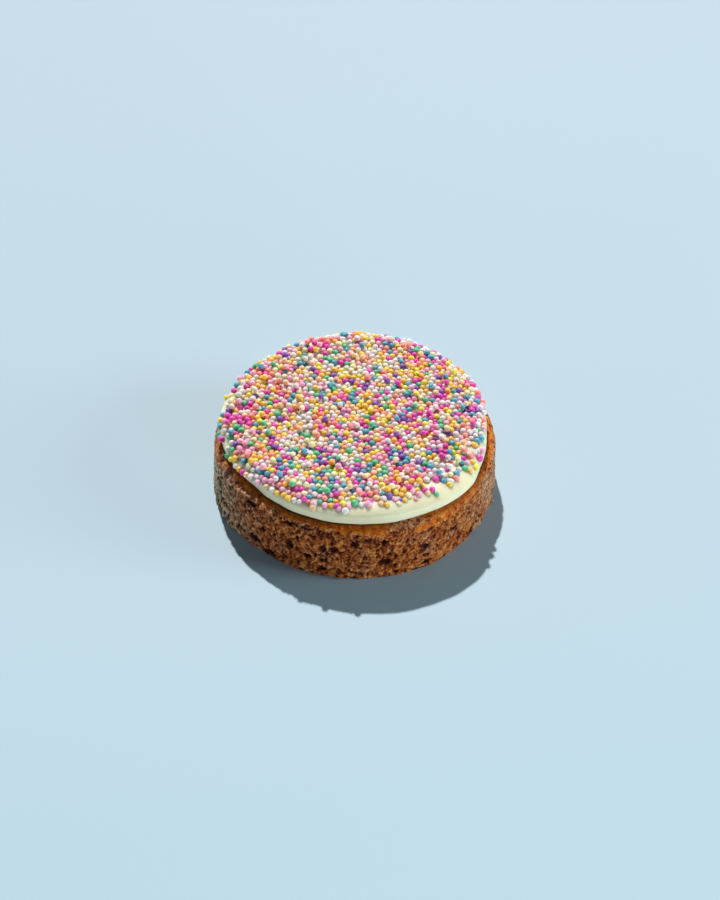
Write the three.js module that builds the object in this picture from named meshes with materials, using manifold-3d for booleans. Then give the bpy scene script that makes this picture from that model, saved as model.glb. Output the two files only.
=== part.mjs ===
// A frosted sugar cookie, as a standalone three.js model.
//
// It is a thick round of brown baked crumb with a smooth browned crust over its top and shoulder, a disc
// of pale icing laid on it, and a close bed of round sugar sprinkles pressed into the icing.
//
// Millimetres, +Z up. The origin is the middle of the flat underside; -Y is the front, +X the right.
// Angles are in degrees from +X towards +Y, so the front is at -90.

import * as THREE from 'three';
import { mergeVertices } from 'three/addons/utils/BufferGeometryUtils.js';
import Module from 'manifold-3d';

// ---- Driving dimensions ----------------------------------------------------------------------------

// The baked round: cut with a round cutter, so its side stands almost upright and flares a little below.
const COOKIE_HEIGHT = 15.5;
const RIM_RADIUS = 35.0;
const FOOT_RADIUS = 35.4;
const FOOT_ROUNDING = 0.7;
const CRUST_WIDTH = 3.2;
const CRUST_DROP = 2.3;
const CRUMB_DEPTH = 1.1;
const CRUMB_BULGE = 0.1;
const CRUMB_STEP = 2.1;

// The icing: a poured disc with a broad round shoulder and a small undercut where it meets the crust.
const ICING_THICKNESS = 4.45;
const ICING_RADIUS = 33.5;
const ICING_SHOULDER_WIDTH = 4.5;
const ICING_SHOULDER_DROP = 2.2;
const ICING_UNDERCUT_WIDTH = 1.3;
const ICING_UNDERCUT_RISE = 1.5;
const ICING_STEPS = 72;

// The sprinkles: sugar beads that lie side by side in an uneven bed, sunk a little way into the icing.
const SPRINKLE_DIAMETER = 1.6;
const SPRINKLE_SIZE_SPREAD = 0.25;
const SPRINKLE_SINK = 0.3;
const SPRINKLE_SIDES = 6;
const SPRINKLE_PITCH = 1.9;
const BED_SHIFT = 0.5;
const BED_HEIGHT_SPREAD = 0.5;
const GAP_DEPTH = 0.85;
const BARE_EDGE = 0.4;

// The icing stays bare along the front edge, widest a little to the right of the middle.
const BARE_LOBES = [
  { at: -68, rise: 3.1, spread: 27 },
  { at: -25, rise: 0.7, spread: 14 },
];

// Whole sprinkles on the bare icing, along the front border of the bed.
const FREE_SPRINKLES = 30;
const FREE_FROM = -150;
const FREE_TO = 5;
const FREE_OFFSET = 0.75;
const FREE_SCATTER = 0.7;

// Where each outline swells out or draws in: the middle of the lobe, how far it goes, and its spread.
const FOOT_LOBES = [
  { at: -158, rise: 0.4, spread: 12 },
  { at: -134, rise: -0.5, spread: 8 },
  { at: -92, rise: 0.5, spread: 12 },
  { at: -62, rise: 0.9, spread: 14 },
];
const RIM_LOBES = [
  { at: -167, rise: 0.2, spread: 9 },
  { at: -62, rise: 0.5, spread: 18 },
  { at: -11, rise: 0.5, spread: 12 },
];
const ICING_LOBES = [
  { at: -143, rise: -0.8, spread: 14 },
  { at: -135, rise: -1.0, spread: 28 },
  { at: -74, rise: 0.3, spread: 9 },
  { at: -42, rise: 1.6, spread: 17 },
  { at: -5, rise: -0.7, spread: 13 },
  { at: 85, rise: 0.8, spread: 24 },
  { at: 135, rise: -0.4, spread: 15 },
  { at: 172, rise: 0.75, spread: 14 },
];

// Colours of the baked crumb and of the icing.
const CRUMB_COLOUR = '#7c4d2c';
const ICING_COLOUR = '#e3dfc4';

const CRUMB_SEED = 11;
const BED_SEED = 23;
const FREE_SEED = 37;

// ---- Helpers ---------------------------------------------------------------------------------------

const wasm = await Module();
wasm.setup();

// A repeatable source of numbers from 0 to 1.
function seededRandom(seed) {
  let state = seed;
  return () => {
    state = (state + 0x6d2b79f5) | 0;
    let mixed = Math.imul(state ^ (state >>> 15), 1 | state);
    mixed = (mixed + Math.imul(mixed ^ (mixed >>> 7), 61 | mixed)) ^ mixed;
    return ((mixed ^ (mixed >>> 14)) >>> 0) / 4294967296;
  };
}

// The height of one smooth lobe, at an angle in radians round the cookie.
function lobeHeight(lobe, angle) {
  const spread = THREE.MathUtils.degToRad(lobe.spread);
  const turn = angle - THREE.MathUtils.degToRad(lobe.at);
  return lobe.rise * Math.exp((Math.cos(turn) - 1) / spread ** 2);
}

function sumOfLobes(lobes, angle) {
  return lobes.reduce((sum, lobe) => sum + lobeHeight(lobe, angle), 0);
}

// Part of an ellipse, from one angle to another, as profile points.
function ellipsePoints(centreR, centreZ, radiusR, radiusZ, from, to, steps) {
  const points = [];
  for (let step = 0; step <= steps; step += 1) {
    const angle = THREE.MathUtils.degToRad(THREE.MathUtils.lerp(from, to, step / steps));
    points.push(new THREE.Vector2(centreR + radiusR * Math.cos(angle), centreZ + radiusZ * Math.sin(angle)));
  }
  return points;
}

// Keeps the corner positions alone and joins the corners that meet, so that the shell is closed.
function sharedVertices(geometry) {
  geometry.deleteAttribute('normal');
  geometry.deleteAttribute('uv');
  return mergeVertices(geometry, 1e-4);
}

// Turns a profile, given as (distance from the axis, height), about +Z.
function turned(profile, steps) {
  const geometry = new THREE.LatheGeometry(profile, steps);
  geometry.rotateX(Math.PI / 2);
  return sharedVertices(geometry);
}

// Moves every vertex by a rule that changes its position in place.
function reshape(geometry, rule) {
  const positions = geometry.attributes.position;
  const point = new THREE.Vector3();
  for (let index = 0; index < positions.count; index += 1) {
    point.fromBufferAttribute(positions, index);
    rule(point, index);
    positions.setXYZ(index, point.x, point.y, point.z);
  }
  return geometry;
}

function toSolid(geometry) {
  const mesh = new wasm.Mesh({
    numProp: 3,
    vertProperties: new Float32Array(geometry.attributes.position.array),
    triVerts: new Uint32Array(geometry.index.array),
  });
  return new wasm.Manifold(mesh);
}

function toGeometry(solid) {
  const mesh = solid.getMesh();
  const geometry = new THREE.BufferGeometry();
  geometry.setAttribute('position', new THREE.BufferAttribute(mesh.vertProperties, mesh.numProp));
  geometry.setIndex(new THREE.BufferAttribute(mesh.triVerts, 1));
  return geometry;
}

// The largest outer shell of a solid: this fills sealed hollows and drops loose scraps.
function mainBody(solid) {
  return solid.decompose().reduce((best, piece) => (piece.volume() > best.volume() ? piece : best));
}

// ---- The baked round -------------------------------------------------------------------------------

function cookieProfile() {
  const crustTop = RIM_RADIUS - CRUST_WIDTH;
  const crustFoot = COOKIE_HEIGHT - CRUST_DROP;
  const rows = Math.round((crustFoot - FOOT_ROUNDING) / CRUMB_STEP);
  const profile = [new THREE.Vector2(0, 0), new THREE.Vector2(FOOT_RADIUS - 2 * FOOT_ROUNDING, 0)];
  for (let row = 0; row < rows; row += 1) {
    const up = row / rows;
    const radius = THREE.MathUtils.lerp(FOOT_RADIUS, RIM_RADIUS, up);
    profile.push(new THREE.Vector2(radius, THREE.MathUtils.lerp(FOOT_ROUNDING, crustFoot, up)));
  }
  profile.push(...ellipsePoints(crustTop, crustFoot, CRUST_WIDTH, CRUST_DROP, 0, 90, 4));
  profile.push(new THREE.Vector2(0, COOKIE_HEIGHT));
  return profile;
}

// The side is open crumb: each spot of it is pushed in or out at random, up to the smooth crust above.
function cookieGeometry() {
  const random = seededRandom(CRUMB_SEED);
  const steps = Math.round((2 * Math.PI * RIM_RADIUS) / CRUMB_STEP);
  const crustFoot = COOKIE_HEIGHT - CRUST_DROP;
  return reshape(turned(cookieProfile(), steps), (point) => {
    const angle = Math.atan2(point.y, point.x);
    const up = point.z / COOKIE_HEIGHT;
    const radius = Math.hypot(point.x, point.y);
    const lobes = THREE.MathUtils.lerp(sumOfLobes(FOOT_LOBES, angle), sumOfLobes(RIM_LOBES, angle), up);
    const isCrumb = point.z > FOOT_ROUNDING / 2 && point.z < crustFoot - FOOT_ROUNDING / 2;
    const push = isCrumb ? CRUMB_BULGE - CRUMB_DEPTH * random() ** 2 : 0;
    const lift = isCrumb ? (random() - 0.5) * FOOT_ROUNDING : 0;
    const uneven = radius * (1 + lobes / RIM_RADIUS) + push;
    point.set(uneven * Math.cos(angle), uneven * Math.sin(angle), point.z + lift);
  });
}

// ---- The icing -------------------------------------------------------------------------------------

const ICING_TOP = COOKIE_HEIGHT + ICING_THICKNESS;
const ICING_SHOULDER_RADIUS = ICING_RADIUS - ICING_SHOULDER_WIDTH;

function icingProfile() {
  const undercut = ellipsePoints(
    ICING_RADIUS - ICING_UNDERCUT_WIDTH, COOKIE_HEIGHT + ICING_UNDERCUT_RISE,
    ICING_UNDERCUT_WIDTH, ICING_UNDERCUT_RISE, -90, 0, 2,
  );
  const shoulder = ellipsePoints(
    ICING_SHOULDER_RADIUS, ICING_TOP - ICING_SHOULDER_DROP,
    ICING_SHOULDER_WIDTH, ICING_SHOULDER_DROP, 0, 90, 4,
  );
  return [new THREE.Vector2(0, COOKIE_HEIGHT), ...undercut, ...shoulder, new THREE.Vector2(0, ICING_TOP)];
}

// How far the icing's uneven outline goes beyond a true circle, as a factor.
function icingStretch(angle) {
  return 1 + sumOfLobes(ICING_LOBES, angle) / ICING_RADIUS;
}

// The height of the icing's upper face at a distance from the middle, before the outline's stretch.
function icingSurface(radius) {
  const outwards = THREE.MathUtils.clamp((radius - ICING_SHOULDER_RADIUS) / ICING_SHOULDER_WIDTH, 0, 1);
  return ICING_TOP - ICING_SHOULDER_DROP * (1 - Math.sqrt(1 - outwards ** 2));
}

function stretchOutline(point) {
  const stretch = icingStretch(Math.atan2(point.y, point.x));
  point.x *= stretch;
  point.y *= stretch;
}

function icingDisc() {
  return reshape(turned(icingProfile(), ICING_STEPS), stretchOutline);
}

// ---- The sprinkles ---------------------------------------------------------------------------------

// How far the bed's border lies from the middle, before the outline's stretch.
function bedRadius(angle) {
  return ICING_RADIUS - BARE_EDGE - sumOfLobes(BARE_LOBES, angle);
}

// The sprinkles that touch each other, as one sheet of bumps of their size over the icing.
// Its top is a net of equal-sided triangles. Every third point of the net is the top of a sprinkle, and
// the points between are the gaps. Outside the bed all points lie inside the icing.
function sprinkleSheet() {
  const random = seededRandom(BED_SEED);
  const step = SPRINKLE_PITCH / Math.sqrt(3);
  const rowHeight = (step * Math.sqrt(3)) / 2;
  const halfRows = Math.ceil(ICING_RADIUS / rowHeight);
  const halfColumns = Math.ceil(ICING_RADIUS / step + halfRows / 2);
  const net = sharedVertices(new THREE.BoxGeometry(
    2 * halfColumns, 2 * halfRows, 1, 2 * halfColumns, 2 * halfRows, 1,
  ));
  const sheetBottom = COOKIE_HEIGHT + ICING_THICKNESS / 3;
  const insideIcing = COOKIE_HEIGHT + ICING_THICKNESS / 2;
  return reshape(net, (point) => {
    const column = Math.round(point.x);
    const row = Math.round(point.y);
    const isTop = point.z > 0;
    const isSprinkle = THREE.MathUtils.euclideanModulo(column + row, 3) === 0;
    point.x = (column - row / 2 + (random() - 0.5) * BED_SHIFT) * step;
    point.y = (row + (random() - 0.5) * BED_SHIFT) * rowHeight;
    const radius = Math.hypot(point.x, point.y);
    const inBed = radius < bedRadius(Math.atan2(point.y, point.x));
    const crest = icingSurface(radius) + SPRINKLE_DIAMETER - SPRINKLE_SINK;
    const rise = random() * BED_HEIGHT_SPREAD - (isSprinkle ? 0 : GAP_DEPTH);
    const top = inBed ? crest + rise : insideIcing;
    point.z = isTop ? top : sheetBottom;
    stretchOutline(point);
  });
}

// A plain disc just inside the icing's edge, which trims the sheet.
function trimmingDisc() {
  const edge = ICING_RADIUS - BARE_EDGE / 2;
  const bottom = COOKIE_HEIGHT + ICING_THICKNESS / 4;
  const top = ICING_TOP + 2 * SPRINKLE_DIAMETER;
  const profile = [
    new THREE.Vector2(0, bottom),
    new THREE.Vector2(edge, bottom),
    new THREE.Vector2(edge, top),
    new THREE.Vector2(0, top),
  ];
  return reshape(turned(profile, ICING_STEPS), stretchOutline);
}

// One whole sprinkle on the icing, at a place given before the outline's stretch.
function sprinkle(radius, angle, size) {
  const bead = sharedVertices(new THREE.SphereGeometry(size / 2, SPRINKLE_SIDES, SPRINKLE_SIDES - 2));
  const stretched = radius * icingStretch(angle);
  const height = icingSurface(radius) + size / 2 - SPRINKLE_SINK;
  bead.rotateZ(angle);
  bead.translate(stretched * Math.cos(angle), stretched * Math.sin(angle), height);
  return bead;
}

// The largest sprinkles come first, then the smaller ones between them, spread evenly along the front.
function freeSprinkles() {
  const random = seededRandom(FREE_SEED);
  const beads = [];
  for (let count = 0; count < FREE_SPRINKLES; count += 1) {
    const size = SPRINKLE_DIAMETER + SPRINKLE_SIZE_SPREAD * (0.5 - count / FREE_SPRINKLES);
    const order = (2 * count) % FREE_SPRINKLES + Math.floor((2 * count) / FREE_SPRINKLES);
    const share = (order + 0.5 * random()) / FREE_SPRINKLES;
    const angle = THREE.MathUtils.degToRad(THREE.MathUtils.lerp(FREE_FROM, FREE_TO, share));
    const radius = bedRadius(angle) + FREE_OFFSET + FREE_SCATTER * (random() - 0.5);
    beads.push(sprinkle(Math.min(radius, ICING_RADIUS - BARE_EDGE), angle, size));
  }
  return beads;
}

function icingGeometry() {
  const bed = toSolid(sprinkleSheet()).intersect(toSolid(trimmingDisc()));
  const beads = freeSprinkles().map(toSolid);
  const fused = [bed, ...beads].reduce((whole, piece) => whole.add(piece), toSolid(icingDisc()));
  return toGeometry(mainBody(fused));
}

// ---- The scene graph -------------------------------------------------------------------------------

function namedMesh(name, geometry, colour, roughness) {
  const material = new THREE.MeshStandardMaterial({ color: colour, roughness, metalness: 0 });
  const mesh = new THREE.Mesh(geometry, material);
  mesh.name = name;
  return mesh;
}

const frostedCookie = new THREE.Group();
frostedCookie.add(namedMesh('cookie', cookieGeometry(), CRUMB_COLOUR, 0.85));
frostedCookie.add(namedMesh('icing', icingGeometry(), ICING_COLOUR, 0.4));

export default frostedCookie;
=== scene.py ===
"""A frosted sugar cookie: a thick round of brown baked crumb with a glossy browned crust, a disc of pale
set icing on it, and a close bed of coloured sugar sprinkles pressed into the icing.

Metres, +Z up. The cookie stands on the ground at z = 0, with its bare icing edge towards -Y.
Angles round the cookie are in degrees from +X towards +Y, so the front is at -90.
"""

import math
import random

import bmesh
import bpy
import numpy as np
from mathutils import Euler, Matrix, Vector, noise


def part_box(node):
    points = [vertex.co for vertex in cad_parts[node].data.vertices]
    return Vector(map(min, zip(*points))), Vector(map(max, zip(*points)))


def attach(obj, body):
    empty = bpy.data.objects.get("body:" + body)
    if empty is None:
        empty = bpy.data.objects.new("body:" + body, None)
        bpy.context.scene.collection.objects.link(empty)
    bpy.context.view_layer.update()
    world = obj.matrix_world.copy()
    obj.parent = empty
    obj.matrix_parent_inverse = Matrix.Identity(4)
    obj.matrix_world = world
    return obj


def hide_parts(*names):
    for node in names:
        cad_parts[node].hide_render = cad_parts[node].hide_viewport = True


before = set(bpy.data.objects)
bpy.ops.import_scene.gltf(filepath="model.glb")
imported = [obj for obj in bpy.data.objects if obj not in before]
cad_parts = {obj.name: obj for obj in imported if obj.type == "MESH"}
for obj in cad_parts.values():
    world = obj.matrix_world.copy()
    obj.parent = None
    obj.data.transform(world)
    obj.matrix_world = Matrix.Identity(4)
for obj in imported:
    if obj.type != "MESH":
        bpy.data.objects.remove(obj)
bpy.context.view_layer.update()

MM = 0.001

# One seed for all that is drawn at random, and for the noise that twists the crumb, which would
# otherwise be another one each run.
SEED = 5
noise.seed_set(SEED)

# ---- Sizes of the cookie --------------------------------------------------------------------------

BASE_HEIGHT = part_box("cookie")[1].z
ICING_HEIGHT = 4.45 * MM
ICING_TOP = BASE_HEIGHT + ICING_HEIGHT

RIM_RADIUS = 35.0 * MM
FOOT_RADIUS = 35.4 * MM
FOOT_ROUNDING = 0.6 * MM
CRUST_WIDTH = 3.2 * MM
CRUST_DROP = 2.3 * MM
SIDE_TOP = BASE_HEIGHT - CRUST_DROP

ICING_RADIUS = 33.5 * MM
ICING_SHOULDER_WIDTH = 4.5 * MM
ICING_SHOULDER_DROP = 2.2 * MM
ICING_UNDERCUT_WIDTH = 1.3 * MM
ICING_UNDERCUT_RISE = 1.5 * MM
ICING_SHOULDER_RADIUS = ICING_RADIUS - ICING_SHOULDER_WIDTH

# Each lobe of an outline: its middle in degrees, how far it goes, and its spread in degrees.
FOOT_LOBES = (
    (-158, 0.4 * MM, 12),
    (-134, -0.5 * MM, 8),
    (-92, 0.5 * MM, 12),
    (-62, 0.9 * MM, 14),
)
RIM_LOBES = (
    (-167, 0.2 * MM, 9),
    (-62, 0.5 * MM, 18),
    (-11, 0.5 * MM, 12),
)
ICING_LOBES = (
    (-143, -0.8 * MM, 14),
    (-135, -1.0 * MM, 28),
    (-74, 0.3 * MM, 9),
    (-42, 1.6 * MM, 17),
    (-5, -0.7 * MM, 13),
    (85, 0.8 * MM, 24),
    (135, -0.4 * MM, 15),
    (172, 0.75 * MM, 14),
)


# ---- Blends and swells ------------------------------------------------------------------------------

def clamp(value):
    return min(max(value, 0.0), 1.0)


def mix(low, high, share):
    return low + (high - low) * share


def smoothstep(low, high, value):
    share = clamp((value - low) / (high - low))
    return share * share * (3 - 2 * share)


def lobe(angle, at, rise, spread):
    """The height of one smooth lobe at an angle in radians round the cookie."""
    turn = angle - math.radians(at)
    return rise * math.exp((math.cos(turn) - 1) / math.radians(spread) ** 2)


def lobes(angle, rows):
    return sum(lobe(angle, *row) for row in rows)


def icing_stretch(angle):
    """How far the icing's uneven outline goes beyond a true circle, as a factor."""
    return 1 + lobes(angle, ICING_LOBES) / ICING_RADIUS


def swell(point, size, height):
    """A smooth random rise or dent at a point, from a pattern of about the given size."""
    return noise.noise(point / size) * height


def swells(point, rows):
    return sum(swell(point, *row) for row in rows)


def rough_swell(point, size, height, smoothness, octaves):
    """A random rise or dent with finer ones on it, each half as wide as the one before."""
    return noise.fractal(point / size, smoothness, 2.0, octaves) * height


# ---- Turned shapes ----------------------------------------------------------------------------------

SEAM_GAP = 1e-6


def line(start, end, spacing):
    """Points from start up to, but without, end, as (distance from the axis, height)."""
    steps = max(1, round(math.dist(start, end) / spacing))
    return [(mix(start[0], end[0], i / steps), mix(start[1], end[1], i / steps)) for i in range(steps)]


def arc(centre, radii, start, end, spacing):
    """Points along part of an ellipse, from one angle in degrees up to, but without, another."""
    length = math.radians(abs(end - start)) * sum(radii) / 2
    steps = max(2, round(length / spacing))
    angles = [math.radians(mix(start, end, i / steps)) for i in range(steps)]
    return [(centre[0] + radii[0] * math.cos(a), centre[1] + radii[1] * math.sin(a)) for a in angles]


def turn_profile(profile, steps):
    """Bends a grid once round the axis along a profile that starts and ends on it, into a closed body."""
    bm = bmesh.new()
    rows = len(profile) - 1
    bmesh.ops.create_grid(bm, x_segments=steps, y_segments=rows, size=0.5)
    for vertex in bm.verts:
        angle = (vertex.co.x + 0.5) * math.tau
        radius, height = profile[round((vertex.co.y + 0.5) * rows)]
        vertex.co = (radius * math.cos(angle), radius * math.sin(angle), height)
    seam = [vertex for vertex in bm.verts if vertex.is_boundary]
    bmesh.ops.remove_doubles(bm, verts=seam, dist=SEAM_GAP)
    bmesh.ops.recalc_face_normals(bm, faces=bm.faces)
    return bm


def add_piece(mesh, material, node):
    """Turns a finished mesh into a smooth piece that stands for a node of the frame."""
    mesh.polygons.foreach_set("use_smooth", [True] * len(mesh.polygons))
    mesh.materials.append(material)
    piece = bpy.data.objects.new(mesh.name, mesh)
    bpy.context.scene.collection.objects.link(piece)
    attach(piece, "root")
    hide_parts(node)


def add_turned_piece(name, bm, material, node):
    mesh = bpy.data.meshes.new(name)
    bm.to_mesh(mesh)
    bm.free()
    add_piece(mesh, material, node)


# ---- Material nodes ---------------------------------------------------------------------------------

# The sockets of a Mix node that mixes colours.
MIX_SHARE = 0
MIX_FIRST = 6
MIX_SECOND = 7
MIX_RESULT = 2


def colour(code):
    """An sRGB hex colour as linear red, green, blue and alpha."""
    channels = [int(code[i:i + 2], 16) / 255 for i in (1, 3, 5)]
    linear = [c / 12.92 if c <= 0.04045 else ((c + 0.055) / 1.055) ** 2.4 for c in channels]
    return (*linear, 1.0)


def new_material(name):
    """A material without nodes, and its empty node tree."""
    material = bpy.data.materials.new(name)
    material.use_nodes = True
    tree = material.node_tree
    tree.nodes.clear()
    return material, tree


def add_node(tree, kind, inputs=None, **properties):
    """Adds a node and sets its properties. Each input is linked from an output or set to a value."""
    node = tree.nodes.new(kind)
    for name, value in properties.items():
        setattr(node, name, value)
    for key, value in (inputs or {}).items():
        if isinstance(value, bpy.types.NodeSocket):
            tree.links.new(value, node.inputs[key])
        else:
            node.inputs[key].default_value = value
    return node


def mesh_value(tree, name):
    """The value that a mesh carries at each of its corners under a name."""
    return add_node(tree, "ShaderNodeAttribute", attribute_name=name).outputs["Fac"]


def object_noise(tree, size, detail, roughness=0.55):
    """A noise pattern on object coordinates whose features are about the given size in metres."""
    place = add_node(tree, "ShaderNodeTexCoord").outputs["Object"]
    inputs = {"Vector": place, "Scale": 1 / size, "Detail": detail, "Roughness": roughness}
    return add_node(tree, "ShaderNodeTexNoise", inputs).outputs["Fac"]


def maths(tree, operation, *values):
    """The result of a Math node on outputs and numbers."""
    return add_node(tree, "ShaderNodeMath", dict(enumerate(values)), operation=operation).outputs["Value"]


def mapped(tree, value, low, high, to_low=0.0, to_high=1.0):
    """A value carried over from one range to another, and held inside it."""
    inputs = {"Value": value, "From Min": low, "From Max": high, "To Min": to_low, "To Max": to_high}
    return add_node(tree, "ShaderNodeMapRange", inputs).outputs["Result"]


def mixed(tree, share, first, second):
    """The first colour where the share is 0 and the second where it is 1."""
    inputs = {MIX_SHARE: share, MIX_FIRST: first, MIX_SECOND: second}
    return add_node(tree, "ShaderNodeMix", inputs, data_type="RGBA").outputs[MIX_RESULT]


def ramp(tree, factor, stops):
    """The colour that a factor picks from stops, each a position and a hex colour."""
    node = add_node(tree, "ShaderNodeValToRGB", {"Fac": factor})
    elements = node.color_ramp.elements
    while len(elements) < len(stops):
        elements.new(1.0)
    for element, (position, code) in zip(elements, stops):
        element.position = position
        element.color = colour(code)
    return node.outputs["Color"]


def bumps(tree, height, strength, distance):
    inputs = {"Height": height, "Strength": strength, "Distance": distance}
    return add_node(tree, "ShaderNodeBump", inputs).outputs["Normal"]


def add_surface(tree, inputs):
    """Ends a material with its surface shader."""
    shader = add_node(tree, "ShaderNodeBsdfPrincipled", inputs)
    add_node(tree, "ShaderNodeOutputMaterial", {"Surface": shader.outputs["BSDF"]})


# ---- Materials --------------------------------------------------------------------------------------

# The crumb's colours by depth, from the raised grains down into the bubbles, darkening with painted shade
# deeper in: as baked, and dried out.
CRUMB_AND_PIT_SHADE_TONES = (
    (0.2, "#d08c4c"),
    (0.34, "#b2642c"),
    (0.5, "#8e4218"),
    (0.68, "#60240c"),
    (0.9, "#320c04"),
)
DRY_CRUMB_AND_PIT_SHADE_TONES = (
    (0.2, "#ead8be"),
    (0.34, "#c8b498"),
    (0.5, "#a28c72"),
    (0.68, "#684e36"),
    (0.9, "#28140a"),
)

# The crust's colours from its darkest patches to its palest: glossy, and dull.
CRUST_TONES = (
    (0.58, "#6c2600"),
    (0.7, "#cc5a00"),
    (0.8, "#e07208"),
    (0.93, "#eca040"),
)
DULL_CRUST_TONES = (
    (0.6, "#3a1c0e"),
    (0.71, "#6a4028"),
    (0.81, "#8c5e42"),
    (0.93, "#caa080"),
)
# Painted shade with browning on the crust beside the icing, then the pale flakes on the crust's border.
CRUST_SHADE_AND_BROWNING_TONE = "#1c0800"
FLAKE_TONE = "#d09c72"

# The noise in the dough's colours: size, detail and roughness.
GRAIN_PATTERN = (0.55 * MM, 5.0, 0.75)
PORE_PATTERN = (1.2 * MM, 3.0, 0.65)
BROWNING_PATTERN = (1.5 * MM, 5.0, 0.65)
FLAKE_PATTERN = (0.7 * MM, 3.0, 0.6)

# How much the pores and the grains deepen the crumb's colour, and how much the grains brown the crust.
PORE_WEIGHT = 1.1
PORE_LEVEL = -0.62
GRAIN_WEIGHT = 0.72
BROWNING_WEIGHT = 0.5

# The values between which the crumb's colour gives way to the crust's, and between which flakes start.
SEALED_BETWEEN = (0.92, 1.06)
FLAKES_BETWEEN = (0.23, 0.3)
FLAKE_BORDER = 0.5

GRAIN_RELIEF = 0.3 * MM
GRAIN_RELIEF_STRENGTH = 1.0
CRUMB_ROUGHNESS = 0.75
CRUST_ROUGHNESS = 0.3

ICING_TONES = (
    (0.35, "#e8dfbe"),
    (0.65, "#ecddb8"),
)
ICING_CLOUDS = (9 * MM, 2.0)
ICING_RIPPLES = (2.5 * MM, 2.0)
ICING_RIPPLE_STRENGTH = 0.2
ICING_RIPPLE_DEPTH = 0.1 * MM

# The tone of a sprinkle follows a noise pattern: its size and detail, the part of it that is used, and
# how dark and how bright a tone gets.
SUGAR_PATTERN = (1.6 * MM, 1.0)
SUGAR_BETWEEN = (0.3, 0.7)
SUGAR_TONES = (0.88, 1.12)

# The board's tones from front to back: painted light, a little brighter towards the back.
BOARD_LIGHT_FALLOFF_TONES = (
    (0.0, "#adc5d2"),
    (0.4, "#b4c8d3"),
    (1.0, "#bbccd7"),
)
BOARD_FRONT = -0.18
BOARD_BACK = 0.25


def baked_dough():
    """Baked cookie dough: open, matte crumb where the cutter went through, moist and orange brown in
    places and dry and greyer in others, with painted shade deeper in its bubbles, and a top crust that
    the oven sealed and caramelised to a glossy orange brown, darker beside the icing with painted shade
    under its edge and a browner tone, with pale flakes where it breaks off."""
    material, tree = new_material("baked_cookie_dough")
    crust = mesh_value(tree, "crust")
    dryness = mesh_value(tree, "dryness")
    grains = object_noise(tree, *GRAIN_PATTERN)

    pores = maths(tree, "MULTIPLY_ADD", object_noise(tree, *PORE_PATTERN), PORE_WEIGHT, PORE_LEVEL)
    finer = maths(tree, "MULTIPLY_ADD", grains, GRAIN_WEIGHT, pores)
    # The deeper the crumb, the darker its colour: painted shade in the bubbles, varied by pores and
    # grains.
    depth = maths(tree, "ADD", mesh_value(tree, "cavity"), finer)
    crumb_tone = mixed(tree, dryness, ramp(tree, depth, CRUMB_AND_PIT_SHADE_TONES), ramp(tree, depth, DRY_CRUMB_AND_PIT_SHADE_TONES))

    browning = maths(tree, "MULTIPLY_ADD", grains, BROWNING_WEIGHT, object_noise(tree, *BROWNING_PATTERN))
    glossy_tone = ramp(tree, browning, CRUST_TONES)
    crust_tone = mixed(tree, dryness, glossy_tone, ramp(tree, browning, DULL_CRUST_TONES))
    # The crust beside the icing darkens with painted shade under the icing's edge and a browner tone.
    shaded_and_browned_tone = mixed(tree, mesh_value(tree, "shade_and_browning"), crust_tone, colour(CRUST_SHADE_AND_BROWNING_TONE))

    sealed = mapped(tree, maths(tree, "ADD", grains, crust), *SEALED_BETWEEN)
    tone = mixed(tree, sealed, crumb_tone, shaded_and_browned_tone)
    on_border = maths(tree, "PINGPONG", crust, FLAKE_BORDER)
    flaking = maths(tree, "MULTIPLY", on_border, object_noise(tree, *FLAKE_PATTERN))
    flakes = mapped(tree, flaking, *FLAKES_BETWEEN)

    add_surface(tree, {
        "Base Color": mixed(tree, flakes, tone, colour(FLAKE_TONE)),
        "Roughness": mapped(tree, sealed, 0.0, 1.0, CRUMB_ROUGHNESS, CRUST_ROUGHNESS),
        "Normal": bumps(tree, grains, GRAIN_RELIEF_STRENGTH, GRAIN_RELIEF),
        "IOR": 1.45,
        "Specular IOR Level": 0.16,
    })
    return material


def set_icing():
    """Poured sugar icing that has set: smooth, satin and a little see-through, pale yellowish cream."""
    material, tree = new_material("set_sugar_icing")
    ripples = object_noise(tree, *ICING_RIPPLES)
    add_surface(tree, {
        "Base Color": ramp(tree, object_noise(tree, *ICING_CLOUDS), ICING_TONES),
        "Normal": bumps(tree, ripples, ICING_RIPPLE_STRENGTH, ICING_RIPPLE_DEPTH),
        "IOR": 1.47,
        "Roughness": 0.5,
        "Subsurface Weight": 1.0,
        "Subsurface Radius": (1.0, 0.9, 0.6),
        "Subsurface Scale": 3.0 * MM,
    })
    return material


def sprinkle_sugar(name, code):
    """Sugar beads tumbled in a pan with colour and wax: round, satin, each with its own slight tone."""
    material, tree = new_material("panned_sugar_" + name)
    tone = mapped(tree, object_noise(tree, *SUGAR_PATTERN), *SUGAR_BETWEEN, *SUGAR_TONES)
    tinted = add_node(tree, "ShaderNodeHueSaturation", {"Color": colour(code), "Value": tone})
    add_surface(tree, {
        "Base Color": tinted.outputs["Color"],
        "IOR": 1.5,
        "Roughness": 0.48,
        "Subsurface Weight": 1.0,
        "Subsurface Radius": (1.0, 1.0, 1.0),
        "Subsurface Scale": 1.6 * MM,
    })
    return material


def painted_board():
    """Matte painted board: an even pale blue, with painted light that makes it a little paler towards the
    back.
    """
    material, tree = new_material("matte_painted_board")
    place = add_node(tree, "ShaderNodeTexCoord").outputs["Object"]
    across = add_node(tree, "ShaderNodeSeparateXYZ", {"Vector": place}).outputs["Y"]
    add_surface(tree, {
        "Base Color": ramp(tree, mapped(tree, across, BOARD_FRONT, BOARD_BACK), BOARD_LIGHT_FALLOFF_TONES),
        "Roughness": 0.9,
        "Specular IOR Level": 0.1,
    })
    return material


# ---- The baked round --------------------------------------------------------------------------------

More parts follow.
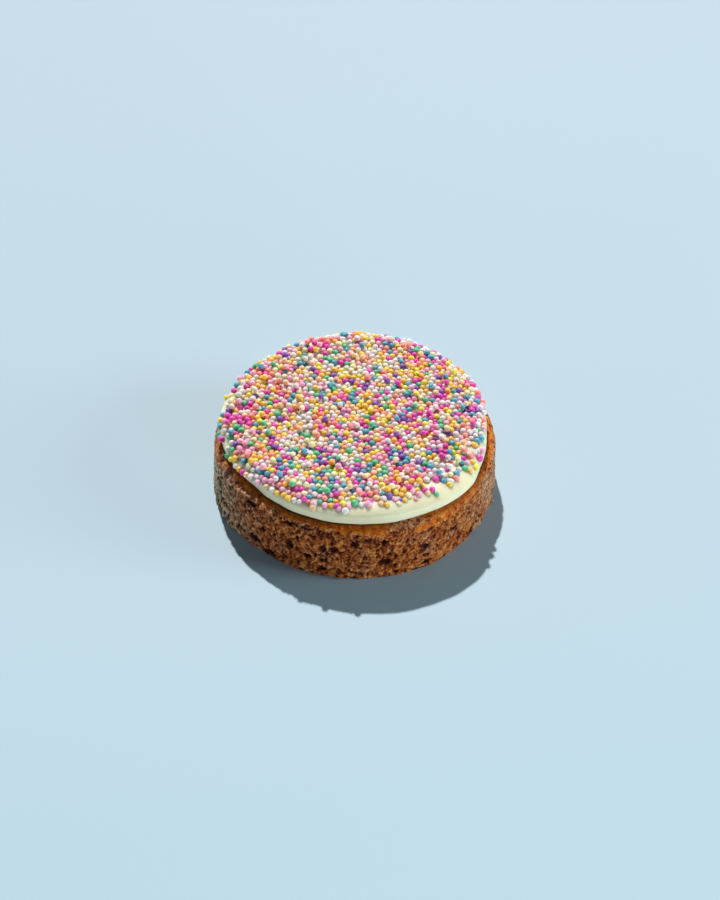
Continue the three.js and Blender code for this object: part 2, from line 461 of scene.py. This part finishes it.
COOKIE_STEPS = 1060
SIDE_SPACING = 0.22 * MM
HIDDEN_SPACING = 8 * MM

# Swells are given by how wide and how high they are, rough ones also by smoothness and octaves.

# The crust is smooth inside the first distance, which the icing covers, and has its full relief from
# the last one on.
COVERED_RADIUS = RIM_RADIUS - 1.5 * CRUST_WIDTH
RELIEF_FROM = (RIM_RADIUS - 1.4 * CRUST_WIDTH, RIM_RADIUS - 0.8 * CRUST_WIDTH)

# All relief fades out this close to the ground, so the cookie stands on a flat foot.
FLAT_FOOT = 0.3 * MM

# The crust wraps over the shoulder and ends in a ragged border on the side, lowest at the front right.
CRUST_BORDER = 14.5 * MM
CRUST_BORDER_LOBES = (
    (-165, -0.9 * MM, 12),
    (-128, 0.6 * MM, 14),
    (-62, -2.1 * MM, 15),
    (-38, -1.3 * MM, 12),
)
CRUST_BORDER_WIDTH = 1.8 * MM
CRUST_RAGGEDNESS = (1.6 * MM, 0.65 * MM, 0.8, 3)

# Across the border the crumb's relief gives way to the crust's, between two shares of sealed crust.
CRUST_SEALED = (0.35, 0.65)

# The crust's own relief, and the flakes on its border.
CRUST_SINK = 0.1 * MM
CRUST_BLISTERS = (
    (3 * MM, 0.25 * MM),
    (1.2 * MM, 0.12 * MM),
)
CRUST_FLAKES = (0.7 * MM, 0.8 * MM)

# A patch beside the icing where the crust has broken away and the crumb shows: its angle and its
# distance from the axis, then half its length and half its width.
BROKEN_PATCH = (-69, 34.0 * MM)
BROKEN_PATCH_SIZE = (4.6 * MM, 1.4 * MM)
BROKEN_PATCH_EDGE = (1.4, 0.8)
BROKEN_PATCH_RAGGEDNESS = 0.8 * MM
BROKEN_PATCH_LEVELLING = 0.5
BROKEN_PATCH_DRYNESS = 0.2

# Where the crumb has dried to a greyer brown: middle in degrees, how dry, and spread in degrees.
DRY_LOBES = (
    (-176, 1.0, 17),
    (-146, 0.12, 12),
    (-12, 0.3, 15),
    (70, 0.4, 30),
)
DRY_PATCHES = (4 * MM, 0.25)
MOISTURE = 0.03

# Where the crust's outer edge is dull and pale instead of glossy: middle, how dull, and spread.
DULL_CRUST = (-150, 1.0, 20)
DULL_CRUST_FROM = (32.4 * MM, 33.8 * MM)

# How much the crust beside the icing is darkened round the cookie: painted shade under the icing's
# edge, and a browner crust at the right and back. A wide tint and a dark line of painted shadow in it
# are given by how far out they end, where they are full, and how strong they are.
CRUST_SHADE_AND_BROWNING_LOBES = (
    (-142, 1.25, 28),
    (-92, 0.4, 20),
    (-45, 0.35, 22),
    (-4, 0.9, 16),
    (95, 0.55, 50),
)
CRUST_SHADE_AND_BROWNING_BANDS = (
    (3.2 * MM, 0.3 * MM, 0.6),
    (1.2 * MM, 0.4 * MM, 0.4),
)

# The bubbles that the cutter opened, by size: how far apart, how many are there, and how deep. The
# radius of each lies between two shares of its cell.
BUBBLES = (
    {"cell": 2.6 * MM, "share": 0.17, "depth": 0.85 * MM},
    {"cell": 1.3 * MM, "share": 0.75, "depth": 0.75 * MM},
    {"cell": 0.8 * MM, "share": 0.75, "depth": 0.45 * MM},
)
BUBBLE_RADII = (0.4, 0.75)
BUBBLE_DEPTHS = (0.5, 1.0)

# Where the crumb is closer, with fewer bubbles: middle, how much closer, and spread. Closer and more
# open patches also lie at random.
FINE_CRUMB = (-38, 0.45, 24)
OPEN_PATCHES = (4.5 * MM, 0.7)

# The crumb between the bubbles: folds and grains, and the twist that bends bubbles and folds.
CRUMB_TWIST_SIZE = 1.2 * MM
CRUMB_TWIST = 0.55 * MM
CRUMB_FOLDS = (0.9 * MM, 0.6 * MM)
CRUMB_GRAINS = (0.5 * MM, 0.14 * MM, 0.7, 3)
CRUMB_BULGE = 0.1 * MM
# The depth over which the crumb's painted shade goes from none to full.
CAVITY_RANGE = 1.1 * MM

# The side is lumpier towards the foot, and crags of crumb stand out at its lowest edge.
SIDE_LUMPS = (5 * MM, 0.5 * MM)
FOOT_CRAGS = (2.2 * MM, 0.6 * MM, 0.8, 2)
FOOT_CRAGS_HEIGHT = (3.5 * MM, 0.5 * MM)

# Hollows torn out of the side: the angle in degrees, the height, half the width and half the height.
TORN_HOLLOWS = (
    (-137, 14.0 * MM, 1.8 * MM, 0.7 * MM),
    (-117, 14.2 * MM, 0.9 * MM, 0.6 * MM),
    (-130, 8.0 * MM, 0.7 * MM, 0.8 * MM),
    (-117, 7.3 * MM, 0.8 * MM, 1.2 * MM),
    (-109, 5.3 * MM, 0.9 * MM, 0.8 * MM),
    (-90, 10.8 * MM, 0.9 * MM, 1.0 * MM),
    (-78, 4.8 * MM, 1.4 * MM, 0.8 * MM),
    (-78, 11.3 * MM, 0.8 * MM, 0.7 * MM),
    (-103, 2.4 * MM, 1.2 * MM, 0.8 * MM),
    (-135, 3.0 * MM, 1.9 * MM, 0.9 * MM),
    (-127, 1.0 * MM, 2.4 * MM, 0.7 * MM),
    (-62, 1.6 * MM, 0.9 * MM, 0.6 * MM),
    (-46, 7.5 * MM, 0.7 * MM, 0.5 * MM),
)

# How deep a hollow is, and between which shares of its size it gets there, along a ragged edge.
HOLLOW_DEPTH = 0.75 * MM
HOLLOW_EDGE = (1.4, 0.4)
HOLLOW_RAGGEDNESS = (0.9 * MM, 0.5)


def chance(point, seed):
    """A repeatable number from 0 to 1 for a point."""
    return math.sin(point.x * 12.9898 + point.y * 78.233 + point.z * 37.719 + seed) * 43758.5453 % 1.0


def bubble_depth(point, openness, cell, share, depth):
    """The depth of the bubble that was cut open at a point, or none."""
    likely = share * openness
    distances, centres = noise.voronoi(point / cell)
    luck = chance(centres[0], cell)
    if luck > likely:
        return 0.0
    radius = mix(*BUBBLE_RADII, chance(centres[0], 2 * cell))
    sunk = smoothstep(0.0, 1.0, 1 - distances[0] / radius)
    return depth * mix(*BUBBLE_DEPTHS, luck / likely) * sunk


def crumb_depth(point):
    """How deep the open crumb lies below the cutter's path, from its bubbles, folds and grains."""
    bent = point + noise.noise_vector(point / CRUMB_TWIST_SIZE) * CRUMB_TWIST
    closer = lobe(math.atan2(point.y, point.x), *FINE_CRUMB)
    openness = 1 - closer + swell(point, *OPEN_PATCHES)
    bubbles = sum(bubble_depth(bent, openness, **kind) for kind in BUBBLES)
    return bubbles + abs(swell(bent, *CRUMB_FOLDS)) + rough_swell(point, *CRUMB_GRAINS)


def hollow_depth(angle, point):
    """The depth of a torn hollow at a place on the side, or none."""
    nearest = min(
        math.hypot((angle - math.radians(at)) * RIM_RADIUS / half_width, (point.z - middle) / half_height)
        for at, middle, half_width, half_height in TORN_HOLLOWS
    )
    return HOLLOW_DEPTH * smoothstep(*HOLLOW_EDGE, nearest + swell(point, *HOLLOW_RAGGEDNESS))


def crust_shade_and_browning(angle, radius):
    """How much painted shade under the icing's edge, and browning, darken the crust here, 0 to 1."""
    beside = radius - ICING_RADIUS * icing_stretch(angle) + ICING_UNDERCUT_WIDTH
    dark = sum(strength * smoothstep(end, full, beside) for end, full, strength in CRUST_SHADE_AND_BROWNING_BANDS)
    return min(lobes(angle, CRUST_SHADE_AND_BROWNING_LOBES) * dark, 1.0)


def off_patch(angle, radius):
    """How far a place is from the middle of the broken patch: below 1 inside it."""
    along = (angle - math.radians(BROKEN_PATCH[0])) * radius / BROKEN_PATCH_SIZE[0]
    return math.hypot(along, (radius - BROKEN_PATCH[1]) / BROKEN_PATCH_SIZE[1])


def crust_share(angle, radius, point):
    """0.5 on the border of the sealed crust, up to 1 where it is whole and down to 0 on the crumb."""
    ragged = rough_swell(point, *CRUST_RAGGEDNESS)
    border = CRUST_BORDER + lobes(angle, CRUST_BORDER_LOBES) + ragged
    above = (point.z - border) / CRUST_BORDER_WIDTH
    beside = off_patch(angle, radius) + ragged / BROKEN_PATCH_RAGGEDNESS - 1
    return clamp(min(above, beside) + 0.5)


def cookie_profile():
    foot_centre = (FOOT_RADIUS - FOOT_ROUNDING, FOOT_ROUNDING)
    crust_centre = (RIM_RADIUS - CRUST_WIDTH, SIDE_TOP)
    return [
        *line((0, 0), (foot_centre[0], 0), HIDDEN_SPACING),
        *arc(foot_centre, (FOOT_ROUNDING, FOOT_ROUNDING), -90, 0, SIDE_SPACING),
        *line((FOOT_RADIUS, FOOT_ROUNDING), (RIM_RADIUS, SIDE_TOP), SIDE_SPACING),
        *arc(crust_centre, (CRUST_WIDTH, CRUST_DROP), 0, 90, SIDE_SPACING),
        *line((crust_centre[0], BASE_HEIGHT), (0, BASE_HEIGHT), HIDDEN_SPACING),
        (0, BASE_HEIGHT),
    ]


def bake_cookie():
    bm = turn_profile(cookie_profile(), COOKIE_STEPS)
    cavity = bm.verts.layers.float.new("cavity")
    crust = bm.verts.layers.float.new("crust")
    dryness = bm.verts.layers.float.new("dryness")
    shade_and_browning = bm.verts.layers.float.new("shade_and_browning")
    for vertex in bm.verts:
        point = vertex.co.copy()
        radius = math.hypot(point.x, point.y)
        if radius < COVERED_RADIUS:
            continue
        angle = math.atan2(point.y, point.x)
        up = point.z / BASE_HEIGHT
        uneven = mix(lobes(angle, FOOT_LOBES), lobes(angle, RIM_LOBES), up) / RIM_RADIUS
        outward = Vector((math.cos(angle), math.sin(angle), 0))
        tilt = smoothstep(SIDE_TOP, BASE_HEIGHT, point.z)
        direction = (outward * (1 - tilt) + Vector((0, 0, tilt))).normalized()

        share = crust_share(angle, radius, point)
        whole = smoothstep(*CRUST_SEALED, share)
        patch = smoothstep(*BROKEN_PATCH_EDGE, off_patch(angle, radius)) * tilt
        depth = crumb_depth(point) * (1 - BROKEN_PATCH_LEVELLING * patch) + hollow_depth(angle, point)
        lumps = swell(point, *SIDE_LUMPS) * (1 - up)
        crags = rough_swell(point, *FOOT_CRAGS) * smoothstep(*FOOT_CRAGS_HEIGHT, point.z)
        crumb_sunk = depth - CRUMB_BULGE + lumps + crags
        crust_sunk = CRUST_SINK - swells(point, CRUST_BLISTERS)
        flake = share * (1 - share) * swell(point, *CRUST_FLAKES)
        sunk = mix(crumb_sunk, crust_sunk, whole) - flake
        sunk *= smoothstep(0.0, FLAT_FOOT, point.z)
        sunk *= max(smoothstep(*RELIEF_FROM, radius), 1 - tilt)
        vertex.co = Vector((point.x * (1 + uneven), point.y * (1 + uneven), point.z)) - direction * sunk

        dull = lobe(angle, *DULL_CRUST) * smoothstep(*DULL_CRUST_FROM, radius)
        dry = mix(lobes(angle, DRY_LOBES), dull, whole) + swell(point, *DRY_PATCHES) - MOISTURE
        # How deep the crumb lies, which darkens its colour with painted shade.
        vertex[cavity] = clamp(depth / CAVITY_RANGE)
        vertex[crust] = share
        vertex[dryness] = clamp(max(dry, BROKEN_PATCH_DRYNESS * patch))
        # Painted shade under the icing's edge, and a browner crust beside it.
        vertex[shade_and_browning] = crust_shade_and_browning(angle, radius)
    add_turned_piece("baked_cookie", bm, baked_dough(), "cookie")


# ---- The icing --------------------------------------------------------------------------------------

ICING_STEPS = 480
ICING_SPACING = 0.35 * MM
ICING_TOP_SPACING = 3 * MM
ICING_SEAT = 1.0 * MM

# The wobble of the icing's outline, and the shares of its radius between which the wobble starts.
ICING_WOBBLES = (
    (7 * MM, 0.35 * MM),
    (2.5 * MM, 0.1 * MM),
)
ICING_WOBBLES_FROM = (0.8, 1.0)


def icing_slope(radius):
    """How far out on the icing's shoulder a distance from the middle lies, 0 to 1."""
    return clamp((radius - ICING_SHOULDER_RADIUS) / ICING_SHOULDER_WIDTH)


def icing_surface(radius):
    """The height of the icing's upper face at a distance from the middle."""
    return ICING_TOP - ICING_SHOULDER_DROP * (1 - math.sqrt(1 - icing_slope(radius) ** 2))


def icing_profile():
    undercut_centre = (ICING_RADIUS - ICING_UNDERCUT_WIDTH, BASE_HEIGHT + ICING_UNDERCUT_RISE)
    shoulder_centre = (ICING_SHOULDER_RADIUS, ICING_TOP - ICING_SHOULDER_DROP)
    seat = BASE_HEIGHT - ICING_SEAT
    return [
        *line((0, seat), (undercut_centre[0], seat), HIDDEN_SPACING),
        *line((undercut_centre[0], seat), (undercut_centre[0], BASE_HEIGHT), ICING_SPACING),
        *arc(undercut_centre, (ICING_UNDERCUT_WIDTH, ICING_UNDERCUT_RISE), -90, 0, ICING_SPACING),
        *arc(shoulder_centre, (ICING_SHOULDER_WIDTH, ICING_SHOULDER_DROP), 0, 90, ICING_SPACING),
        *line((shoulder_centre[0], ICING_TOP), (0, ICING_TOP), ICING_TOP_SPACING),
        (0, ICING_TOP),
    ]


def pour_icing():
    bm = turn_profile(icing_profile(), ICING_STEPS)
    for vertex in bm.verts:
        point = vertex.co.copy()
        outer = smoothstep(*ICING_WOBBLES_FROM, math.hypot(point.x, point.y) / ICING_RADIUS)
        factor = icing_stretch(math.atan2(point.y, point.x))
        factor += swells(point, ICING_WOBBLES) * outer / ICING_RADIUS
        vertex.co.x *= factor
        vertex.co.y *= factor
    add_turned_piece("icing_disc", bm, set_icing(), "icing")


# ---- The sprinkles ----------------------------------------------------------------------------------

SPRINKLE_RADIUS = 0.81 * MM
SPRINKLE_RADIUS_SPREAD = 0.1 * MM
SPRINKLE_STRETCH = (0.93, 1.07)
SPRINKLE_CROWDING = 0.95

# How deep the sprinkles are pressed into the icing. Near the front edge it is more: middle, how much
# more, and spread, and the distances from the axis between which it starts.
SPRINKLE_SINK = 0.55 * MM
SPRINKLE_SINK_SPREAD = 0.24 * MM
FRONT_SINK = (-68, 0.3 * MM, 40)
FRONT_SINK_FROM = (25 * MM, 30 * MM)
STEEPEST_SLOPE = 0.98

# How wide the icing's bare edge is, with lobes that widen or narrow it. The border of the bed inside
# it is scattered, most at the front.
BARE_EDGE = 0.5 * MM
BARE_LOBES = (
    (-160, -0.9 * MM, 16),
    (-68, 3.1 * MM, 27),
    (-25, 0.7 * MM, 14),
)
BORDER_SCATTER_SIZE = 2.2 * MM
BORDER_SCATTER = 0.9 * MM
BORDER_SCATTER_EVERYWHERE = 0.5
BORDER_SCATTER_FRONT = (-60, 0.8, 35)

# The first layer settles in rounds. Every few rounds the close neighbours are listed anew.
FIRST_LAYER = 1530
SETTLING_ROUNDS = 140
SETTLING_PUSH = 0.4
NEIGHBOUR_ROUNDS = 8
NEIGHBOUR_REACH = 3.2 * SPRINKLE_RADIUS

SECOND_LAYER = 250
SECOND_LAYER_TRIES = 20
SECOND_LAYER_INSET = 2.0 * MM
HIGHEST_TOP = 22.2 * MM

STRAYS = 26
STRAY_ANGLES = (-125, -15)
STRAY_REACH = (0.6 * MM, 1.4 * MM)
STRAY_INSET = 0.7 * MM

# The colours of the mix and how many of every hundred sprinkles have each.
SPRINKLE_MIX = (
    ("white", "#e1d5d2", 26),
    ("cream", "#f0deb0", 9),
    ("yellow", "#ffd85a", 6),
    ("amber", "#ffb84e", 11),
    ("peach", "#ffc096", 8),
    ("salmon", "#fd9286", 8),
    ("pink", "#faa8c0", 11),
    ("magenta", "#dc4ca8", 11.5),
    ("purple", "#8458a8", 5),
    ("teal", "#5ca0b2", 5.5),
    ("green", "#5ebc88", 5.5),
)
COLOUR_CLUMP_SIZE = 5 * MM
COLOUR_CLUMPING = 2.4
COLOUR_CLUMP_SHIFT = 9.7


def sprinkle_radius(draw):
    return SPRINKLE_RADIUS + draw.uniform(-1, 1) * SPRINKLE_RADIUS_SPREAD


def random_place(draw):
    x = draw.uniform(-ICING_RADIUS, ICING_RADIUS)
    y = draw.uniform(-ICING_RADIUS, ICING_RADIUS)
    return x, y


def bed_radius(angle):
    """How far the bed of sprinkles reaches from the middle, before the outline's stretch."""
    place = Vector((math.cos(angle), math.sin(angle), 0)) * ICING_RADIUS
    scatter = swell(place, BORDER_SCATTER_SIZE, BORDER_SCATTER)
    scatter *= BORDER_SCATTER_EVERYWHERE + lobe(angle, *BORDER_SCATTER_FRONT)
    return ICING_RADIUS - BARE_EDGE - lobes(angle, BARE_LOBES) + scatter


def first_layer(draw):
    """Sprinkles spread at random on the icing and then nudged apart until they lie side by side."""
    radii = np.array([sprinkle_radius(draw) for _ in range(FIRST_LAYER)])
    degrees = np.arange(-180, 181)
    borders = np.array([bed_radius(math.radians(at)) for at in degrees])
    places = []
    while len(places) < FIRST_LAYER:
        x, y = random_place(draw)
        if math.hypot(x, y) < bed_radius(math.atan2(y, x)):
            places.append((x, y))
    places = np.array(places)
    for settling in range(SETTLING_ROUNDS):
        if settling % NEIGHBOUR_ROUNDS == 0:
            apart = np.abs(places[:, None, :] - places[None, :, :]).max(axis=2)
            one, other = np.nonzero(np.triu(apart < NEIGHBOUR_REACH, 1))
        apart = places[one] - places[other]
        distance = np.hypot(*apart.T) + 1e-9
        overlap = np.clip(SPRINKLE_CROWDING * (radii[one] + radii[other]) - distance, 0, None)
        push = apart / distance[:, None] * overlap[:, None] * SETTLING_PUSH
        np.add.at(places, one, push)
        np.add.at(places, other, -push)
        limit = np.interp(np.degrees(np.arctan2(places[:, 1], places[:, 0])), degrees, borders)
        places /= np.maximum(np.hypot(*places.T) / limit, 1)[:, None]
    return places, radii


def bead_on_icing(x, y, radius, draw):
    """The middle of a sprinkle that is sunk a little into the icing at a place."""
    distance = math.hypot(x, y)
    slope = icing_slope(distance)
    rise = math.sqrt(1 - min(slope, STEEPEST_SLOPE) ** 2) / ICING_SHOULDER_DROP
    outward = slope / ICING_SHOULDER_WIDTH
    normal = Vector((outward * x / distance, outward * y / distance, rise)).normalized()
    pressed_in = lobe(math.atan2(y, x), *FRONT_SINK) * smoothstep(*FRONT_SINK_FROM, distance)
    sink = SPRINKLE_SINK + pressed_in + draw.uniform(-1, 1) * SPRINKLE_SINK_SPREAD
    return Vector((x, y, icing_surface(distance))) + normal * (radius - sink)


def stray_beads(draw):
    """Single sprinkles that rolled out onto the bare icing in front of the bed."""
    beads = []
    for _ in range(STRAYS):
        angle = math.radians(draw.uniform(*STRAY_ANGLES))
        distance = min(bed_radius(angle) + draw.uniform(*STRAY_REACH), ICING_RADIUS - STRAY_INSET)
        radius = sprinkle_radius(draw)
        middle = bead_on_icing(distance * math.cos(angle), distance * math.sin(angle), radius, draw)
        if all((middle - other).length > radius + size for other, size in beads):
            beads.append((middle, radius))
    return beads


def second_layer(draw, beads):
    """Sprinkles that came to rest in the pockets between those of the first layer."""
    centres = np.array([tuple(centre) for centre, _ in beads])
    radii = np.array([radius for _, radius in beads])
    for _ in range(SECOND_LAYER):
        radius = sprinkle_radius(draw)
        best = None
        for _ in range(SECOND_LAYER_TRIES):
            x, y = random_place(draw)
            if math.hypot(x, y) > bed_radius(math.atan2(y, x)) - SECOND_LAYER_INSET:
                continue
            across = (centres[:, 0] - x) ** 2 + (centres[:, 1] - y) ** 2
            reach = SPRINKLE_CROWDING * (radii + radius)
            touching = across < reach ** 2
            lift = np.sqrt(reach[touching] ** 2 - across[touching])
            resting = (centres[touching, 2] + lift).max(initial=0.0)
            height = max(resting, ICING_TOP + radius - SPRINKLE_SINK)
            if best is None or height < best[2]:
                best = (x, y, height)
        if best is not None and best[2] + radius < HIGHEST_TOP:
            beads.append((Vector(best), radius))
            centres = np.vstack([centres, best])
            radii = np.append(radii, radius)
    return beads


def bead_shape():
    """The corners and faces of one round sprinkle of radius 1."""
    bm = bmesh.new()
    bmesh.ops.create_icosphere(bm, subdivisions=2, radius=1.0)
    corners = np.array([tuple(vertex.co) for vertex in bm.verts])
    faces = np.array([[vertex.index for vertex in face.verts] for face in bm.faces])
    bm.free()
    return corners, faces


def bead_colour(draw, centre):
    """Draws a sprinkle's colour, with colours likelier where more of their kind already lie."""
    weights = []
    for index, (_, _, share) in enumerate(SPRINKLE_MIX):
        clump = noise.noise(centre / COLOUR_CLUMP_SIZE + Vector((0, 0, COLOUR_CLUMP_SHIFT * index)))
        weights.append(share * math.exp(COLOUR_CLUMPING * clump))
    return draw.choices(SPRINKLE_MIX, weights)[0][0]


def scatter_sprinkles():
    draw = random.Random(SEED)
    places, radii = first_layer(draw)
    beads = [(bead_on_icing(x, y, radius, draw), radius) for (x, y), radius in zip(places, radii)]
    beads = second_layer(draw, beads)
    beads += stray_beads(draw)
    corners, faces = bead_shape()
    batches = {name: [] for name, _, _ in SPRINKLE_MIX}
    for centre, radius in beads:
        stretch = icing_stretch(math.atan2(centre.y, centre.x))
        place = np.array((centre.x * stretch, centre.y * stretch, centre.z))
        turn = np.array(Euler([draw.uniform(0, math.tau) for _ in range(3)]).to_matrix())
        size = np.array([radius * draw.uniform(*SPRINKLE_STRETCH) for _ in range(3)])
        batches[bead_colour(draw, centre)].append((corners * size) @ turn.T + place)
    for name, code, _ in SPRINKLE_MIX:
        batch = batches[name]
        every_face = [faces + index * len(corners) for index in range(len(batch))]
        mesh = bpy.data.meshes.new("sprinkles_" + name)
        mesh.from_pydata(np.concatenate(batch), [], np.concatenate(every_face))
        add_piece(mesh, sprinkle_sugar(name, code), "icing")


# ---- Ground, light and camera -----------------------------------------------------------------------

GROUND_HALF_WIDTH = 3.0
GROUND_GAP = 0.02 * MM

SUN_DIRECTION = Vector((-0.152, 0.79, 1.0))
SUN_WIDTH = math.radians(1.8)
SUN_STRENGTH = 4.15
SUN_COLOUR = (1.0, 0.98, 0.95)

# The soft square lights that face the cookie: name, place, width and power.
PANELS = (
    ("side_panel", (2.4, -0.32, 0.74), 1.1, 35.0),
    ("front_panel", (0.34, -0.63, 0.035), 0.07, 2.2),
    ("left_panel", (-0.73, -0.05, 0.03), 0.06, 0.9),
)
PANEL_COLOUR = (0.8, 0.94, 1.0)

SKY_COLOUR = (0.54, 0.84, 1.0, 1.0)
SKY_STRENGTH = 0.098

# The focal length and the cookie's offset from the middle are in pixels of a picture 900 pixels high.
CAMERA_DISTANCE = 0.650
CAMERA_ELEVATION = math.radians(43.5)
CAMERA_CLIP_START = 0.01
PICTURE_HEIGHT = 900.0
FOCAL_PIXELS = 2554.0
COOKIE_OFFSET_X = -5.58
COOKIE_OFFSET_Y = 27.95
SENSOR = 36.0


def lay_ground():
    bm = bmesh.new()
    bmesh.ops.create_grid(bm, x_segments=8, y_segments=8, size=GROUND_HALF_WIDTH)
    bmesh.ops.translate(bm, verts=bm.verts, vec=(0, 0, -GROUND_GAP))
    mesh = bpy.data.meshes.new("ground")
    bm.to_mesh(mesh)
    bm.free()
    mesh.materials.append(painted_board())
    ground = bpy.data.objects.new("ground", mesh)
    bpy.context.scene.collection.objects.link(ground)


def add_light(light, direction, place=(0, 0, 0)):
    """Puts a light in the scene, shining from a direction towards the cookie."""
    light_object = bpy.data.objects.new(light.name, light)
    light_object.location = place
    light_object.rotation_euler = direction.to_track_quat("Z", "Y").to_euler()
    bpy.context.scene.collection.objects.link(light_object)


def set_lights():
    sun = bpy.data.lights.new("key", "SUN")
    sun.energy = SUN_STRENGTH
    sun.angle = SUN_WIDTH
    sun.color = SUN_COLOUR
    add_light(sun, SUN_DIRECTION)

    for name, place, width, power in PANELS:
        panel = bpy.data.lights.new(name, "AREA")
        panel.size = width
        panel.energy = power
        panel.color = PANEL_COLOUR
        add_light(panel, Vector(place), place)

    world = bpy.data.worlds.new("studio")
    world.use_nodes = True
    background = world.node_tree.nodes["Background"]
    background.inputs["Color"].default_value = SKY_COLOUR
    background.inputs["Strength"].default_value = SKY_STRENGTH
    bpy.context.scene.world = world
    bpy.context.scene.view_settings.view_transform = "Standard"


def set_camera():
    camera = bpy.data.cameras.new("camera")
    camera.sensor_width = SENSOR
    camera.lens = FOCAL_PIXELS / PICTURE_HEIGHT * SENSOR
    camera.shift_x = -COOKIE_OFFSET_X / PICTURE_HEIGHT
    camera.shift_y = COOKIE_OFFSET_Y / PICTURE_HEIGHT
    camera.clip_start = CAMERA_CLIP_START
    camera_object = bpy.data.objects.new("camera", camera)
    place = Vector((0, -math.cos(CAMERA_ELEVATION), math.sin(CAMERA_ELEVATION))) * CAMERA_DISTANCE
    camera_object.location = place
    camera_object.rotation_euler = (math.pi / 2 - CAMERA_ELEVATION, 0, 0)
    bpy.context.scene.collection.objects.link(camera_object)
    bpy.context.scene.camera = camera_object


bake_cookie()
pour_icing()
scatter_sprinkles()
lay_ground()
set_lights()
set_camera()
